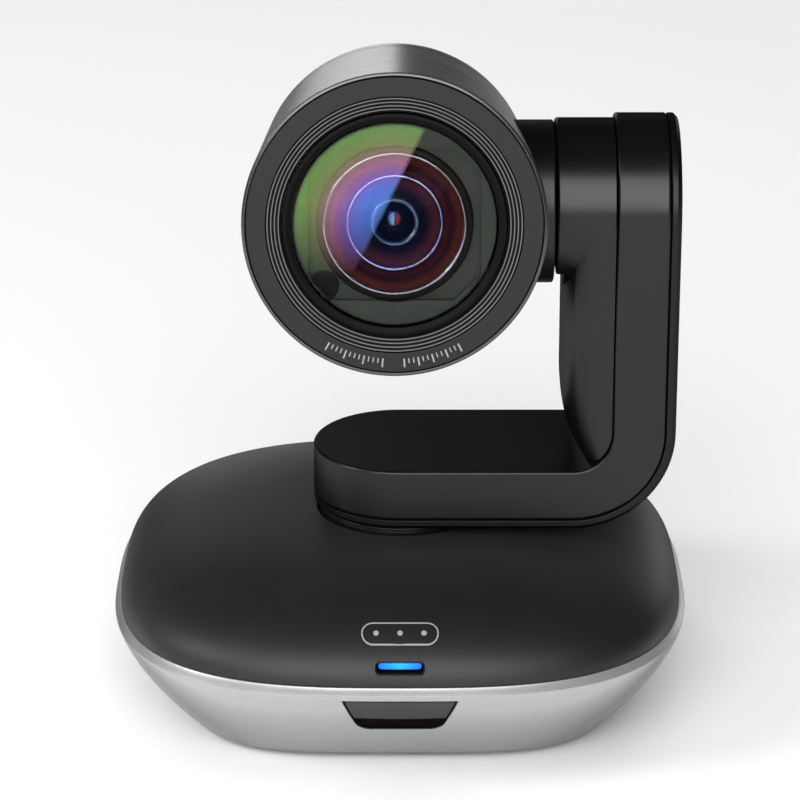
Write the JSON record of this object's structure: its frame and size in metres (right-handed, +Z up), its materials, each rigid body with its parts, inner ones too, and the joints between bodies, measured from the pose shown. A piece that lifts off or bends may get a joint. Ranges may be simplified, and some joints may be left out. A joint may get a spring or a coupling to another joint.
{
  "type": "pan tilt zoom camera",
  "caption": "Conference camera: a zoom lens in a barrel head tilts on an L-shaped arm, which pans on a domed, weighted base with a tripod insert.",
  "frame": {"origin": "centre of the bounding box's footprint, on the surface the feet stand on; the pan axis runs through it", "axes": "+Z up along the pan axis, the lens looks towards -Y and the arm's upright stands on +X"},
  "size_m": [0.131, 0.13, 0.153],
  "materials": {
    "silver_plastic": "silver metallic paint on moulded plastic, satin gloss",
    "charcoal_plastic": "fine-grained charcoal, satin",
    "barrel_paint": "charcoal metallic lacquer",
    "black_plastic": "satin black",
    "bezel_plastic": "fine matte dark grey",
    "rubber": "soft non-slip",
    "steel": "plain steel",
    "screw_steel": "zinc plated",
    "brass": "turned",
    "lamp_plastic": "clear blue light pipe",
    "ir_plastic": "infrared-passing, near-black, polished",
    "circuit_board": "solder mask",
    "socket_plastic": "moulded",
    "gear_plastic": "acetal",
    "motor_can": "pressed can",
    "flex": "polyimide film",
    "window_glass": "coated",
    "lens_glass": "coated",
    "lens_black": "anodised look",
    "trim_chrome": "thin bright ring",
    "chip": "sensor cover"
  },
  "bodies": {
    "base": {"base_shell": "silver_plastic", "base_cover": "charcoal_plastic", "base_plate": "black_plastic", "ballast_plate": "steel", "rubber_foot_1": "rubber", "rubber_foot_2": "rubber", "rubber_foot_3": "rubber", "rubber_foot_4": "rubber", "tripod_bushing": "brass", "base_screw_1": "screw_steel", "base_screw_2": "screw_steel", "base_screw_3": "screw_steel", "base_screw_4": "screw_steel", "led_light_pipe": "lamp_plastic", "ir_window": "ir_plastic", "ir_receiver": "socket_plastic", "main_board": "circuit_board", "processor_shield": "steel", "connector_panel": "socket_plastic", "power_jack": "socket_plastic", "usb_socket": "steel", "lock_slot_plate": "steel", "pan_bracket": "steel", "pan_motor": "motor_can", "pan_bearing": "steel"},
    "pan_pinion": {"pan_pinion": "brass"},
    "arm": {"turntable": "black_plastic", "turntable_screw_1": "screw_steel", "turntable_screw_2": "screw_steel", "turntable_screw_3": "screw_steel", "pan_gear": "gear_plastic", "arm_frame": "black_plastic", "arm_outer_cover": "black_plastic", "arm_inner_cover": "black_plastic", "tilt_motor": "motor_can", "tilt_bearing": "steel", "arm_ribbon_cable": "flex"},
    "tilt_pinion": {"tilt_pinion": "brass"},
    "head": {"barrel_shell": "barrel_paint", "barrel_rear_cap": "barrel_paint", "front_bezel": "bezel_plastic", "groove_ring": "bezel_plastic", "window_ring": "lens_black", "front_glass": "window_glass", "inner_baffle": "lens_black", "lens_barrel": "lens_black", "lens_trim_ring": "trim_chrome", "front_lens_element": "lens_glass", "head_chassis": "steel", "zoom_motor": "motor_can", "focus_motor": "motor_can", "sensor_board": "circuit_board", "image_sensor": "chip", "tilt_hub": "black_plastic", "tilt_shaft": "steel", "tilt_gear": "gear_plastic"},
    "zoom_lens": {"zoom_lens_group": "lens_black"},
    "focus_lens": {"focus_lens_group": "lens_black"}
  },
  "joints": [
    {"name": "pan", "type": "hinge", "parent": "base", "child": "arm", "pos_m": [0, 0, 0.04], "axis": [0, 0, 1], "range_deg": [-130, 130]},
    {"name": "tilt", "type": "hinge", "parent": "arm", "child": "head", "pos_m": [0, 0, 0.115], "axis": [-1, 0, 0], "range_deg": [-49, 81]},
    {"name": "pan_pinion_spin", "type": "hinge", "parent": "base", "child": "pan_pinion", "pos_m": [-0.021, 0, 0.0345], "axis": [0, 0, 1], "range_deg": [-790, 790]},
    {"name": "tilt_pinion_spin", "type": "hinge", "parent": "arm", "child": "tilt_pinion", "pos_m": [0.0435, 0, 0.1], "axis": [-1, 0, 0], "range_deg": [-330, 200]},
    {"name": "zoom_slide", "type": "slide", "parent": "head", "child": "zoom_lens", "axis": [0, -0.9877, 0.1564], "range_m": [-0.004, 0.007]},
    {"name": "focus_slide", "type": "slide", "parent": "head", "child": "focus_lens", "axis": [0, -0.9877, 0.1564], "range_m": [-0.003, 0.003]}
  ],
  "couplings": [
    {"joint": "pan_pinion_spin", "follows": "pan", "ratio": -6},
    {"joint": "tilt_pinion_spin", "follows": "tilt", "ratio": -4}
  ]
}
